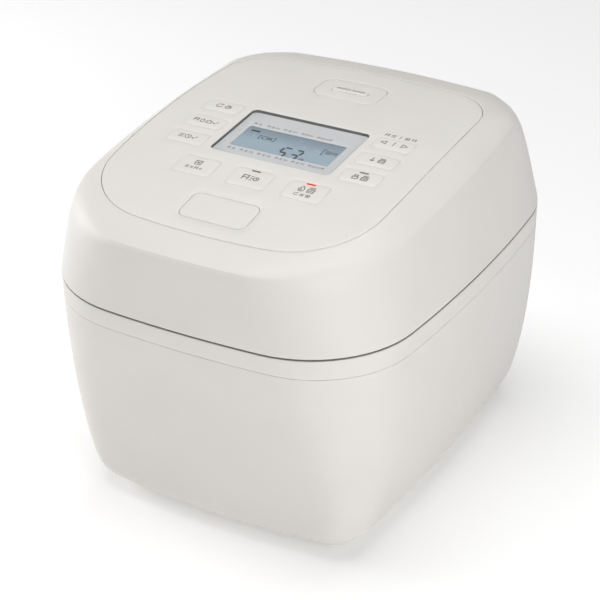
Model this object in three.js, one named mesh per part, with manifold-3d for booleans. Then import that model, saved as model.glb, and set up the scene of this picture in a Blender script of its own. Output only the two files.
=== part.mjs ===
// Pressure induction rice cooker: a soft-cornered body with a tall hinged lid, a domed control
// panel with nine keys, an opening button, a lift-off steam cap, and the pot, coil, fan, board,
// sensor and latch that it needs to work.
// Millimetres. X to the right, Y to the back, Z up. Origin: middle of the base, on the table.
import * as THREE from "three";
import { mergeVertices } from "three/addons/utils/BufferGeometryUtils.js";
import Module from "manifold-3d";

const wasm = await Module();
wasm.setup();

// ---------------------------------------------------------------- driving dimensions
const GAP = 0.3;                 // running gap between neighbouring pieces
const WALL = 2.6;                // moulded wall of the case and the lid
const SEAM_Z = 154;              // parting plane between body and lid
const BODY_DROP = 151.4;         // body height below the parting plane, without the feet
const BAND = 13.3;               // height of the trim band just below the parting plane
const BASE_ROUND = 21;           // rounding between the side walls and the base
const TOP_SPLIT = 0.4;           // half of the dark gap between body and lid
const FINE = 4;                  // segments in a quarter stretch of a body outline

// Outlines are bowed rectangles: big arcs for the front, back and sides, small arcs for corners.
const SEAM = { half: 120, front: 151.3, back: 151.3, endR: 734, sideR: 1002, cornerF: 69.2, cornerB: 69.2 };
const FOOTPRINT = { half: 96, front: 122, back: 130, endR: 559, sideR: 1151, cornerF: 19.7, cornerB: 19.7 };
const CREASE = { half: 109.4, front: 151.5, back: 116.5, endR: 850, sideR: 1080, cornerF: 74.1, cornerB: 36 };
const PANEL = { half: 93, front: 129.1, back: 91.5, endR: 450, sideR: 1247, cornerF: 52.7, cornerB: 37 };
const CREASE_Z = 61.2;           // crease height above the parting plane at mid depth
const CREASE_RISE = 0.081;       // how much the crease climbs towards the back
const FLANK_PULL = { flats: 3.86, corners: 2.89 };   // how closely the lid's flank follows the crease

// The control panel is a cylinder about an axis along X: level at the crown, falling to the front.
const CROWN_Z = SEAM_Z + 73.5;
const CROWN_Y = 57.5;
const CROWN_R = 873;
const PANEL_T = 2.8;

const POT = { r: 94.4, bottomR: 84, wall: 2.4, floorZ: 38, flangeR: 102, rimZ: SEAM_Z - 2.6 };
const POT_HOLE_R = 97.5;
const HINGE = { y: SEAM.back, z: SEAM_Z + 2.5, barrelR: 4.2, boreR: 2.0, pinR: 1.7, reach: 34 };
const BEHIND = HINGE.barrelR / 2; // the barrel stands proud at the back, so the rest sits forward
const VENT_Y = 57.4;
const FAN = { y: -107, z: 43, size: 58, depth: 14 };

// Keys: [name, centre x, centre y, width, depth, has a light]
const SIDE_X = 59.6;
const FRONT_X = 37.1;
const SIDE_KEY = { width: 25.4, depth: 14, rows: [-0.9, -22.6, -43.4] };
const FRONT_KEY = { width: 25.8, depth: 18.7, y: -69.7 };
const KEYS = [
  ["rice", -SIDE_X, SIDE_KEY.rows[0], SIDE_KEY], ["style", -SIDE_X, SIDE_KEY.rows[1], SIDE_KEY],
  ["course", -SIDE_X, SIDE_KEY.rows[2], SIDE_KEY], ["select", SIDE_X, SIDE_KEY.rows[0], SIDE_KEY],
  ["small", SIDE_X, SIDE_KEY.rows[1], SIDE_KEY], ["keep_warm", SIDE_X, SIDE_KEY.rows[2], SIDE_KEY, 4.2],
  ["cancel", -FRONT_X, FRONT_KEY.y, FRONT_KEY], ["timer", 0, FRONT_KEY.y, FRONT_KEY, 7.2],
  ["cook", FRONT_X, FRONT_KEY.y, FRONT_KEY, 7.2],
];
const KEY_PROUD = 0.5;
const KEY_T = 2.6;
const LIGHT = { width: 6.2, depth: 1.5 };
const WINDOW = { half: 41, front: -49.3, back: 5.3, corner: 3.6 };
const GLASS = { half: 33.8, front: -37.5, back: -11.8 };
const BUTTON = { half: 22.3, front: -116.4, back: -92.9, corner: 5.4 };
const VENT = { half: 22.5, front: 41.8, back: 70.2, corner: 9 };

// ---------------------------------------------------------------- materials
const MATERIALS = {
  shell: [0xe6e4df, 0.42, 0], panel: [0xe9e7e2, 0.38, 0], inner: [0xd9d6cf, 0.5, 0],
  dark: [0x2b2c2e, 0.5, 0], clear: [0xdfe6ea, 0.08, 0], lcd: [0x9fb1bf, 0.2, 0],
  silver: [0xc9cbcd, 0.35, 0.6], steel: [0xb9bbbe, 0.3, 1], pot: [0x55504b, 0.45, 0.6],
  copper: [0xb5703c, 0.35, 1], board: [0x2f5d3f, 0.6, 0], rubber: [0x3a3a3b, 0.85, 0],
  seal: [0xbdbab3, 0.75, 0], ferrite: [0x303134, 0.8, 0], red: [0xd02818, 0.3, 0],
  lamp: [0x8b8883, 0.4, 0],
};
const material = (name) => {
  const [color, roughness, metalness] = MATERIALS[name];
  return new THREE.MeshStandardMaterial({ color, roughness, metalness });
};

// ---------------------------------------------------------------- solids: join, cut, loft
function bare(geometry) {
  const plain = geometry.clone();
  plain.deleteAttribute("normal");
  plain.deleteAttribute("uv");
  return mergeVertices(plain, 1e-4);
}

function toSolid(geometry) {
  const merged = bare(geometry);
  const vertProperties = Float32Array.from(merged.attributes.position.array);
  const triVerts = Uint32Array.from(merged.index.array);
  return new wasm.Manifold(new wasm.Mesh({ numProp: 3, vertProperties, triVerts }));
}

function toGeometry(solid) {
  const mesh = solid.getMesh();
  const geometry = new THREE.BufferGeometry();
  geometry.setAttribute("position", new THREE.BufferAttribute(mesh.vertProperties, 3));
  geometry.setIndex(new THREE.BufferAttribute(mesh.triVerts, 1));
  return geometry;
}

const cut = (body, ...tools) => toGeometry(tools.reduce((s, t) => s.subtract(toSolid(t)), toSolid(body)));
const join = (body, ...more) => toGeometry(more.reduce((s, m) => s.add(toSolid(m)), toSolid(body)));
const common = (a, b) => toGeometry(toSolid(a).intersect(toSolid(b)));

// Skins a stack of equal-length rings. A looped stack joins its last ring to its first.
function loft(rings, looped = false) {
  const count = rings[0].length;
  const points = rings.flat();
  const faces = [];
  const stacks = looped ? rings.length : rings.length - 1;
  for (let i = 0; i < stacks; i++) {
    const low = i * count;
    const high = ((i + 1) % rings.length) * count;
    for (let j = 0; j < count; j++) {
      const k = (j + 1) % count;
      faces.push(low + j, low + k, high + k, low + j, high + k, high + j);
    }
  }
  if (!looped) {
    const top = points.length - count;
    for (let j = 1; j < count - 1; j++) faces.push(0, j + 1, j, top, top + j, top + j + 1);
  }
  const geometry = new THREE.BufferGeometry().setFromPoints(points);
  geometry.setIndex(faces);
  return geometry;
}

const box = (x0, x1, y0, y1, z0, z1) =>
  new THREE.BoxGeometry(x1 - x0, y1 - y0, z1 - z0).translate((x0 + x1) / 2, (y0 + y1) / 2, (z0 + z1) / 2);

// A turned solid about +Z from (radius, height) pairs that start and end on the axis, or close.
function turned(profile, segments = 32, closed = false) {
  const points = profile.map(([r, z]) => new THREE.Vector2(r, z));
  if (closed) points.push(points[0].clone());
  return new THREE.LatheGeometry(points, segments).rotateX(Math.PI / 2);
}
const disc = (r, z0, z1, segments = 32) => turned([[0, z0], [r, z0], [r, z1], [0, z1]], segments);
const washer = (r0, r1, z0, z1, segments = 32) =>
  turned([[r0, z0], [r1, z0], [r1, z1], [r0, z1]], segments, true);

// A rounded rectangle as a THREE.Shape, with a few points per corner.
function roundedRect({ half, front, back, corner }, grow = 0) {
  const [w, f, b, r] = [half + grow, front - grow, back + grow, corner + grow];
  const shape = new THREE.Shape();
  shape.moveTo(w, f + r);
  shape.absarc(w - r, b - r, r, 0, Math.PI / 2);
  shape.absarc(-w + r, b - r, r, Math.PI / 2, Math.PI);
  shape.absarc(-w + r, f + r, r, Math.PI, Math.PI * 1.5);
  shape.absarc(w - r, f + r, r, Math.PI * 1.5, Math.PI * 2);
  return shape;
}
const prism = (shape, z0, z1) =>
  new THREE.ExtrudeGeometry(shape, { depth: z1 - z0, bevelEnabled: false, curveSegments: 2 }).translate(0, 0, z0);

// ---------------------------------------------------------------- outlines
const inset = (o, w) => ({
  half: o.half - w, front: o.front - w, back: o.back - w, endR: o.endR - w, sideR: o.sideR - w,
  cornerF: Math.max(o.cornerF - w, 3), cornerB: Math.max(o.cornerB - w, 3),
});
const blend = (a, b, t) => Object.fromEntries(Object.keys(a).map((key) => [key, a[key] + (b[key] - a[key]) * t]));

// One half of an end arc, its corner arc and half of the side arc meet tangentially.
function cornerArc(o, mid, reach, sign, radius) {
  const endCentre = new THREE.Vector2(0, mid + sign * (reach - o.endR));
  const sideCentre = new THREE.Vector2(o.half - o.sideR, mid);
  const line = sideCentre.clone().sub(endCentre);
  const span = line.length();
  line.normalize();
  const [toEnd, toSide] = [o.endR - radius, o.sideR - radius];
  const along = (toEnd ** 2 - toSide ** 2 + span ** 2) / (2 * span);
  const across = Math.sqrt(Math.max(toEnd ** 2 - along ** 2, 0));
  const foot = endCentre.clone().addScaledVector(line, along);
  const normal = new THREE.Vector2(-line.y, line.x).multiplyScalar(-sign);
  const centre = foot.addScaledVector(normal, across);
  return { endCentre, sideCentre, centre, fromEnd: centre.clone().sub(endCentre).angle(),
    fromSide: centre.clone().sub(sideCentre).angle() };
}

function outline(o, fine = FINE) {
  const mid = (o.back - o.front) / 2;
  const reach = (o.back + o.front) / 2;
  const front = cornerArc(o, mid, reach, -1, o.cornerF);
  const back = cornerArc(o, mid, reach, 1, o.cornerB);
  const wrap = (angle) => (angle > Math.PI ? angle - 2 * Math.PI : angle);
  const half = [];
  const arc = (centre, radius, from, to, steps) => {
    for (let i = 0; i < steps; i++) {
      const angle = from + ((to - from) * i) / steps;
      half.push(new THREE.Vector2(centre.x + radius * Math.cos(angle), centre.y + radius * Math.sin(angle)));
    }
  };
  arc(front.endCentre, o.endR, -Math.PI / 2, wrap(front.fromEnd), fine);
  arc(front.centre, o.cornerF, wrap(front.fromEnd), wrap(front.fromSide), fine);
  arc(front.sideCentre, o.sideR, wrap(front.fromSide), wrap(back.fromSide), 2 * fine);
  arc(back.centre, o.cornerB, wrap(back.fromSide), wrap(back.fromEnd), fine);
  arc(back.endCentre, o.endR, wrap(back.fromEnd), Math.PI / 2, fine);
  const mirrored = half.slice(1).reverse().map((p) => new THREE.Vector2(-p.x, p.y));
  return [...half, new THREE.Vector2(0, o.back), ...mirrored];
}
const level = (o, z) => outline(o).map((p) => new THREE.Vector3(p.x, p.y, z));
const slabOf = (o, z0, z1) => loft([level(o, z0), level(o, z1)]);

// ---------------------------------------------------------------- body and lid surfaces
// The body narrows from the parting plane to the footprint, slowly at first, then turns under.
function bodyOutline(depth, wall = 0) {
  const t = depth / BODY_DROP;
  const taper = blend(SEAM, FOOTPRINT, t);
  taper.half = SEAM.half - (SEAM.half - FOOTPRINT.half) * (0.25 * t + 0.75 * t ** 3);
  const q = Math.max(0, (depth - (BODY_DROP - BASE_ROUND)) / BASE_ROUND);
  const under = BASE_ROUND * (1 - Math.sqrt(Math.max(0, 1 - q * q)));
  // The corners tighten only half as fast as the walls turn under, so the base keeps soft corners.
  taper.cornerF += under / 2;
  taper.cornerB += under / 2;
  return inset(taper, under + wall);
}
const bodyRing = (depth, wall = 0) => level(bodyOutline(depth, wall), SEAM_Z - depth);

const panelZ = (y) => CROWN_Z - (y - CROWN_Y) ** 2 / (2 * CROWN_R);
const onPanel = (o, drop = 0) => outline(o).map((p) => new THREE.Vector3(p.x, p.y, panelZ(p.y) - drop));

// The lid's flank is a rational curve from the seam, drawn towards the crease, to the panel edge.
function flankRings(steps, wall = 0, edgeDrop = 0, edgeInset = 0) {
  const foot = level(inset(SEAM, wall), SEAM_Z + TOP_SPLIT);
  const crease = outline(inset(CREASE, wall)).map(
    (p) => new THREE.Vector3(p.x, p.y, SEAM_Z + CREASE_Z + CREASE_RISE * p.y - wall));
  const edge = onPanel(inset(PANEL, edgeInset), edgeDrop);
  const pull = level(SEAM, 0).map((p) => {
    const corner = Math.sin(2 * Math.atan2(p.y / SEAM.back, p.x / SEAM.half)) ** 2;
    return FLANK_PULL.flats + (FLANK_PULL.corners - FLANK_PULL.flats) * corner;
  });
  return Array.from({ length: steps + 1 }, (_, i) => {
    const u = i / steps;
    return foot.map((p, j) => {
      const weights = [(1 - u) ** 2, 2 * u * (1 - u) * pull[j], u * u];
      const sum = weights[0] + weights[1] + weights[2];
      return p.clone().multiplyScalar(weights[0]).addScaledVector(crease[j], weights[1])
        .addScaledVector(edge[j], weights[2]).divideScalar(sum);
    });
  });
}

// A layer that follows the panel's curve, between two depths below its surface.
function panelLayer(top, bottom, front = -140, back = 100) {
  const steps = 12;
  const ys = Array.from({ length: steps + 1 }, (_, i) => front + ((back - front) * i) / steps);
  const upper = ys.map((y) => new THREE.Vector2(panelZ(y) - top, y));
  const lower = ys.map((y) => new THREE.Vector2(panelZ(y) - bottom, y)).reverse();
  const shape = new THREE.Shape([...upper, ...lower]);
  const wide = 2 * PANEL.half + 20;
  // Shape x is height and shape y is depth; the extrusion runs along X.
  return new THREE.ExtrudeGeometry(shape, { depth: wide, bevelEnabled: false })
    .rotateY(-Math.PI / 2).translate(wide / 2, 0, 0);
}
const panelPiece = (shape, top, bottom) => common(panelLayer(top, bottom), prism(shape, SEAM_Z, CROWN_Z + 20));
// An upright block with a rounded rectangle's outline, through the whole panel.
const post = (rect, grow = 0) => prism(roundedRect(rect, grow), SEAM_Z, CROWN_Z + 20).translate(rect.x ?? 0, 0, 0);

// ---------------------------------------------------------------- body shells
function outerCase() {
  const low = BODY_DROP - BASE_ROUND;
  const turns = [0.5, 0.8, 1].map((s) => low + BASE_ROUND * s);
  const depths = [BAND + TOP_SPLIT, 45, 75, 103, low, ...turns];
  const outer = depths.map((depth) => bodyRing(depth)).reverse();
  const inner = depths.map((depth) => level(bodyOutline(depth, WALL), SEAM_Z - depth + (depth > low ? WALL : 0)));
  const shell = loft([...outer, ...inner], true);
  const inlet = box(-INLET.x - INLET.half, -INLET.x + INLET.half, 90, 160, INLET.z - INLET.rise, INLET.z + INLET.rise);
  return cut(shell, inlet);
}
const INLET = { x: 62, half: 15.5, z: 46, rise: 10.5, front: 110, back: 132 };

const hingeRelief = () => new THREE.CylinderGeometry(5.6, 5.6, 2 * HINGE.reach + 3, 20)
  .rotateZ(Math.PI / 2).translate(0, HINGE.y, HINGE.z);

function topFrame() {
  const depths = [BAND, 8, 2.2, 1];
  const crown = level(bodyOutline(TOP_SPLIT, 1.2), SEAM_Z - TOP_SPLIT);
  const block = loft([...depths.map((depth) => bodyRing(depth)), crown]);
  const under = slabOf(bodyOutline(BAND, WALL), SEAM_Z - BAND - 1, SEAM_Z - 7.5);
  const tray = slabOf(inset(SEAM, 6), SEAM_Z - 4.5, SEAM_Z + 1);
  const potHole = disc(POT_HOLE_R, SEAM_Z - 20, SEAM_Z + 5, 40);
  const latchSlot = box(-9, 9, LATCH.y - 7, LATCH.y + 6, SEAM_Z - 20, SEAM_Z + 5);
  const hingeSeat = box(-35, 35, HINGE.y - 8, HINGE.y - 2.6, SEAM_Z - 4.5, SEAM_Z + 1);
  return cut(block, under, tray, potHole, latchSlot, hingeRelief(), hingeSeat);
}

function basePlate() {
  const floor = BODY_DROP - 0.2;
  const plate = slabOf(inset(bodyOutline(BODY_DROP), WALL + 1), SEAM_Z - floor, SEAM_Z - floor + 2.4);
  const slots = [0, 1, 2, 3, 4, 5].map((i) => box(-26, 26, -88 + i * 6, -85 + i * 6, 0, 10));
  return cut(plate, ...slots);
}

const foot = () => turned([[0, 0], [7.2, 0], [8.6, 0.8], [8.6, 2.4], [0, 2.4]], 16);

function potWell() {
  const top = SEAM_Z - 7.9;
  return turned([[13.4, 33], [84, 33], [95, 39], [99.6, 52], [99.6, top], [97.1, top], [97.1, 53],
    [93, 41.4], [83, 35.4], [13.4, 35.4]], 32, true);
}

function innerPot() {
  const { r, bottomR, wall, floorZ, flangeR, rimZ } = POT;
  const rim = rimZ - 1.6;
  return turned([[0, floorZ], [bottomR - 12, floorZ], [bottomR, floorZ + 4.5], [r - 2, floorZ + 17], [r, floorZ + 34],
    [r, rim], [flangeR, rim], [flangeR, rimZ], [r - wall, rimZ], [r - wall, floorZ + 34],
    [r - wall - 2.2, floorZ + 19], [bottomR - 2, floorZ + 7.5], [bottomR - 13, floorZ + wall], [0, floorZ + wall]], 32);
}

// ---------------------------------------------------------------- heating and power
const coilHolder = () => washer(4.7, 80, 19.4, 22.4);
const inductionCoil = () => turned([[26, 22.8], [74, 22.8], [76, 25], [76, 30], [72, 32], [28, 32], [24, 30], [24, 25]], 28, true);
const ferriteBar = () => box(28, 74, -4, 4, 14.8, 19);
const sensor = () => turned([[0, 22], [4, 22], [4, 31.6], [11.6, 31.6], [12.4, 33], [12.4, 36.8], [11.4, 37.7], [0, 37.7]], 24);

function sensorSpring() {
  class Helix extends THREE.Curve {
    getPoint(t) {
      const angle = t * Math.PI * 2 * 3;
      return new THREE.Vector3(7 * Math.cos(angle), 7 * Math.sin(angle), 23.4 + 7.3 * t);
    }
  }
  const wire = new THREE.Shape().absarc(0, 0, 0.5, 0, Math.PI * 2);
  return new THREE.ExtrudeGeometry(wire, { steps: 32, curveSegments: 3, bevelEnabled: false, extrudePath: new Helix() });
}

const powerBoard = () => box(-46, 46, 104, 105.8, 44, 118);
function heatSink() {
  const fins = [0, 1, 2, 3, 4, 5].map((i) => box(-24 + i * 9.2, -21.6 + i * 9.2, 107.5, 118, 60, 104));
  return join(box(-24, 24.4, 106.2, 109, 60, 104), ...fins);
}
function fanFrame() {
  const s = FAN.size / 2;
  const shell = box(-s, s, -FAN.depth / 2, FAN.depth / 2, -s, s);
  const bore = disc(s - 2.5, -20, 20).rotateX(Math.PI / 2);
  const ring = cut(shell, bore);
  const strut = box(-s + 1, s - 1, FAN.depth / 2 - 2.5, FAN.depth / 2, -2, 2);
  const motor = disc(11, -FAN.depth / 2, -FAN.depth / 2 + 2.5, 20).rotateX(Math.PI / 2);
  return join(ring, strut, motor).translate(0, FAN.y, FAN.z);
}
function fanRotor() {
  const blades = Array.from({ length: 7 }, (_, i) =>
    box(-1, 1, -4, 3, 8, 24.5).rotateY((i * Math.PI * 2) / 7));
  return join(disc(10, -3.6, 5.6, 21).rotateX(Math.PI / 2), ...blades).translate(0, FAN.y, FAN.z);
}

// The mains inlet at the back: a recessed socket with two pins. The cord itself plugs in here.
function inletSocket() {
  const { x, half, z, rise, front, back } = INLET;
  const block = box(-x - half + GAP, -x + half - GAP, front, back, z - rise + GAP, z + rise - GAP);
  return cut(block, box(-x - 12, -x + 12, front + 4, back + 10, z - 7, z + 7));
}
const inletPin = () => disc(1.9, 0, 12, 12).rotateX(-Math.PI / 2);

// ---------------------------------------------------------------- hinge and latch
const barrel = (x0, x1) => washer(HINGE.boreR, HINGE.barrelR, x0, x1, 14).rotateY(Math.PI / 2).translate(0, HINGE.y, HINGE.z);
function hingeBracket() {
  const web = box(-33.5, 33.5, HINGE.y - 16, HINGE.y - 5.9, HINGE.z - 6.7, HINGE.z - 4.7);
  const ears = [-1, 1].map((side) => {
    const [x0, x1] = side < 0 ? [-33.5, -22.5] : [22.5, 33.5];
    const ear = box(x0, x1, HINGE.y - 7, HINGE.y - 3, HINGE.z - 6.7, HINGE.z - 1.2);
    return join(barrel(x0, x1), ear);
  });
  return join(web, ...ears);
}
function lidKnuckle() {
  const arm = box(-21.6, 21.6, HINGE.y - 20, HINGE.y - 2.6, HINGE.z + 0.2, HINGE.z + 3.4);
  return join(barrel(-21.6, 21.6), arm);
}
const hingePin = () => disc(HINGE.pinR, -34, 34, 12).rotateY(Math.PI / 2).translate(0, HINGE.y, HINGE.z);

const LATCH = { y: -139, pivotZ: SEAM_Z + 16 };
function latchHook() {
  const { y, pivotZ } = LATCH;
  const shape = new THREE.Shape([[-1.5, pivotZ + 9], [-1.5, SEAM_Z - 9], [-3.6, SEAM_Z - 9], [-3.6, SEAM_Z - 12.2],
    [1.5, SEAM_Z - 14], [1.5, pivotZ - 4], [5, pivotZ + 2], [5, pivotZ + 9]].map(([a, b]) => new THREE.Vector2(a, b)));
  return new THREE.ExtrudeGeometry(shape, { depth: 12, bevelEnabled: false })
    .rotateX(Math.PI / 2).rotateZ(Math.PI / 2).translate(-6, y, 0);
}
const latchCatch = () => box(-8, 8, LATCH.y - 6.2, LATCH.y - 4.2, SEAM_Z - 14, SEAM_Z - 7.9);

// ---------------------------------------------------------------- lid
function lidShell() {
  const outer = flankRings(7);
  const rim = [onPanel(inset(PANEL, 0.2), 0.2), onPanel(inset(PANEL, 0.2), PANEL_T + GAP),
    onPanel(inset(PANEL, 4.5), PANEL_T + GAP), onPanel(inset(PANEL, 4.5), PANEL_T + GAP + 2)];
  const inner = flankRings(5, WALL, PANEL_T + GAP + 2, 3).reverse();
  const armSlot = box(-22.2, 22.2, HINGE.y - 12, HINGE.y - 2, HINGE.z - 1, HINGE.z + 4);
  return cut(loft([...outer, ...rim, ...inner], true), hingeRelief(), armSlot);
}
function topPanel() {
  const outer = new THREE.Shape(outline(inset(PANEL, 0.5)));
  const openings = [...KEYS.map(([, x, y, size]) => keyRect(x, y, size)), WINDOW, BUTTON, VENT];
  return cut(panelPiece(outer, 0, PANEL_T), ...openings.map((rect) => post(rect, GAP)));
}

// The liner closes the lid's underside; it keeps clear of the flank, which leans in at the back.
function lidLiner() {
  const edge = { ...inset(SEAM, 6), front: SEAM.front - 4.4, back: SEAM.back - 21 };
  const plate = slabOf(edge, SEAM_Z + 3, SEAM_Z + 5.2);
  const vent = disc(9.4, SEAM_Z, SEAM_Z + 10, 20).translate(0, VENT_Y, 0);
  const hook = box(-8, 8, LATCH.y - 6, LATCH.y + 7, SEAM_Z, SEAM_Z + 10);
  return cut(plate, vent, hook);
}
const ventHole = (r) => disc(r, SEAM_Z - 5, SEAM_Z + 8, 20).translate(0, VENT_Y, 0);
const heatPlate = () => cut(disc(86, SEAM_Z + 1.9, SEAM_Z + 2.7, 36), ventHole(9.4));
const innerLid = () => cut(disc(98, SEAM_Z + 0.6, SEAM_Z + 1.6, 40), ventHole(6));
const lidGasket = () => turned([[89, SEAM_Z - 1.4], [92, SEAM_Z - 2.3], [98.5, SEAM_Z - 2.3], [98.5, SEAM_Z + 0.3],
  [89, SEAM_Z + 0.3]], 32, true);
const steamDuct = () => turned([[5.5, SEAM_Z + 2.2], [9, SEAM_Z + 2.2], [9, SEAM_Z + 48], [14.6, SEAM_Z + 52],
  [14.6, SEAM_Z + 68.4], [12.6, SEAM_Z + 68.4], [12.6, SEAM_Z + 53], [5.5, SEAM_Z + 48.6]], 24, true)
  .translate(0, VENT_Y, 0);
const valve = (r) => turned([[0, 0], [r, 0], [r, 7], [r - 2, 10], [0, 10]], 20);

function steamCap() {
  const plate = panelPiece(roundedRect(VENT), -0.3, 2.6);
  const pill = { half: 12.6, front: 52.4, back: 58.6, corner: 3.05 };
  const dome = panelPiece(roundedRect(pill), -2, 1);
  const stem = washer(8.4, 11.8, CROWN_Z - 10, CROWN_Z - 1.4, 24).translate(0, VENT_Y, 0);
  const slots = [-1, 1].map((side) => box(side * 5.35 - 4.9, side * 5.35 + 4.9, 55.7, 57.4, SEAM_Z, CROWN_Z + 9));
  return cut(join(plate, dome, stem), ...slots);
}
const openButton = () => panelPiece(roundedRect(BUTTON), 0, 3.4);

const frame = (half, front, back, corner, grow = 0) => roundedRect({ half, front, back, corner }, grow);
const lcdWindow = () => panelPiece(roundedRect(WINDOW), 1, 2);
function lcdBezel() {
  const outer = panelPiece(roundedRect(WINDOW), 2.3, 3.1);
  return cut(outer, prism(frame(GLASS.half, GLASS.front, GLASS.back, 1), SEAM_Z, CROWN_Z));
}
const lcdModule = () => panelPiece(frame(GLASS.half + 3, GLASS.front - 3, GLASS.back + 3, 1), 3.4, 9);
const controlBoard = () => panelPiece(frame(76, -84, 22, 4), 12, 13.6);

// ---------------------------------------------------------------- keys
const keyRect = (x, y, { width, depth }) => ({ x, half: width / 2, front: y - depth / 2, back: y + depth / 2, corner: 2.8 });
const lightRect = (x, y) => ({ x, half: LIGHT.width / 2, front: y - LIGHT.depth / 2, back: y + LIGHT.depth / 2, corner: 0.6 });
function keyCap([, x, y, size, lightBack]) {
  const cap = common(panelLayer(-KEY_PROUD, KEY_T - KEY_PROUD), post(keyRect(x, y, size)));
  return lightBack ? cut(cap, post(lightRect(x, y + lightBack), GAP)) : cap;
}
const keyLight = ([, x, y, , lightBack]) =>
  common(panelLayer(-KEY_PROUD - 0.05, KEY_T), post(lightRect(x, y + lightBack)));

// ---------------------------------------------------------------- assembly
const group = new THREE.Group();
const body = new THREE.Group();
group.add(body);
body.position.y = -BEHIND;

function add(name, geometry, finish, place = [0, 0, 0], turnZ = 0) {
  const mesh = new THREE.Mesh(geometry, material(finish));
  mesh.name = name;
  mesh.position.set(...place);
  mesh.rotation.z = turnZ;
  body.add(mesh);
}

add("outer_case", outerCase(), "shell");
add("top_frame", topFrame(), "shell");
add("base_plate", basePlate(), "inner");
for (const [side, x] of [["left", -50], ["right", 50]]) {
  add(`foot_front_${side}`, foot(), "rubber", [x, -82, 0]);
  add(`foot_back_${side}`, foot(), "rubber", [x, 82, 0]);
}
add("pot_well", potWell(), "dark");
add("inner_pot", innerPot(), "pot");
add("coil_holder", coilHolder(), "inner");
add("induction_coil", inductionCoil(), "copper");
[0, 1, 2, 3].forEach((i) => add(`ferrite_bar_${i + 1}`, ferriteBar(), "ferrite", [0, 0, 0], ((i + 0.5) * Math.PI) / 2));
add("pot_sensor", sensor(), "steel");
add("sensor_spring", sensorSpring(), "steel");
add("power_board", powerBoard(), "board");
add("heat_sink", heatSink(), "steel");
add("fan_frame", fanFrame(), "dark");
add("fan_rotor", fanRotor(), "dark");
add("inlet_socket", inletSocket(), "dark");
add("inlet_pin_left", inletPin(), "steel", [-INLET.x - 5.5, INLET.front + 4 + GAP, INLET.z]);
add("inlet_pin_right", inletPin(), "steel", [-INLET.x + 5.5, INLET.front + 4 + GAP, INLET.z]);
add("hinge_bracket", hingeBracket(), "steel");
add("hinge_pin", hingePin(), "steel");
add("latch_catch", latchCatch(), "steel");

add("lid_shell", lidShell(), "shell");
add("top_panel", topPanel(), "panel");
add("lid_liner", lidLiner(), "inner");
add("lid_knuckle", lidKnuckle(), "steel");
add("heat_plate", heatPlate(), "steel");
add("inner_lid", innerLid(), "steel");
add("lid_gasket", lidGasket(), "seal");
add("steam_duct", steamDuct(), "inner");
add("pressure_valve", valve(9), "steel", [-34, VENT_Y - 30, SEAM_Z + 5.6]);
add("safety_valve", valve(6), "steel", [34, VENT_Y - 30, SEAM_Z + 5.6]);
add("lcd_window", lcdWindow(), "clear");
add("lcd_bezel", lcdBezel(), "silver");
add("lcd_module", lcdModule(), "lcd");
add("control_board", controlBoard(), "board");
add("steam_cap", steamCap(), "shell");
add("open_button", openButton(), "panel");
add("latch_hook", latchHook(), "inner");
for (const key of KEYS) {
  add(`key_${key[0]}`, keyCap(key), "panel");
  if (key[4]) add(`light_${key[0]}`, keyLight(key), key[0] === "cook" ? "red" : "lamp");
}

export default group;
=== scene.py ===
"""Looks for the rice cooker: smooth shells, keys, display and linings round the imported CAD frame."""
import math

import bmesh
import bpy
from mathutils import Matrix, Vector
from mathutils.geometry import delaunay_2d_cdt


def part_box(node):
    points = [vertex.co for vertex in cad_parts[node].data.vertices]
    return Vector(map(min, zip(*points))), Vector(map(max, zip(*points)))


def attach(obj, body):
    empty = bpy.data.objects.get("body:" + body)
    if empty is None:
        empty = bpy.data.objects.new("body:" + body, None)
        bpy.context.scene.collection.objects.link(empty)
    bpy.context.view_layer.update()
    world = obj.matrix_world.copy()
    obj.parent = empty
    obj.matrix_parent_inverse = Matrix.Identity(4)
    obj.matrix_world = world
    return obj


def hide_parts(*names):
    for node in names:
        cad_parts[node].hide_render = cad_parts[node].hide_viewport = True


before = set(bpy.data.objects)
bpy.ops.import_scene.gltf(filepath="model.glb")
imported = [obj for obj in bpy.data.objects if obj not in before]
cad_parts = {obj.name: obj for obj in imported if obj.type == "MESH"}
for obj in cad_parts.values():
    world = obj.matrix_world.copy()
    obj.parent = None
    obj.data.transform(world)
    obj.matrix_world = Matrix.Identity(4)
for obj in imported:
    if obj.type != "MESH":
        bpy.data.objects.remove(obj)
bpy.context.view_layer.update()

# ---- dimensions, in millimetres
MM = 0.001


def mm_box(node):
    """A CAD node's lowest and highest corners in millimetres."""
    low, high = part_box(node)
    return [c / MM for c in low], [c / MM for c in high]


LID_HIGH = mm_box("lid_shell")[1]
CASE_LOW = mm_box("outer_case")[0]
FRAME_LOW, FRAME_HIGH = mm_box("top_frame")
SPLIT = 0.4  # half of the gap between body and lid
SEAM_Z = FRAME_HIGH[2] + SPLIT
FRONT_Y = FRAME_LOW[1]
HALF_DEPTH = 151.3
MID_Y = FRONT_Y + HALF_DEPTH  # middle of the seam outline
BODY_DROP = SEAM_Z - CASE_LOW[2]
BAND = SEAM_Z - FRAME_LOW[2]
BASE_ROUND = 21.0  # radius of the walls' turn under the case
WALL = 2.6
PANEL_T = 2.8

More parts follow.
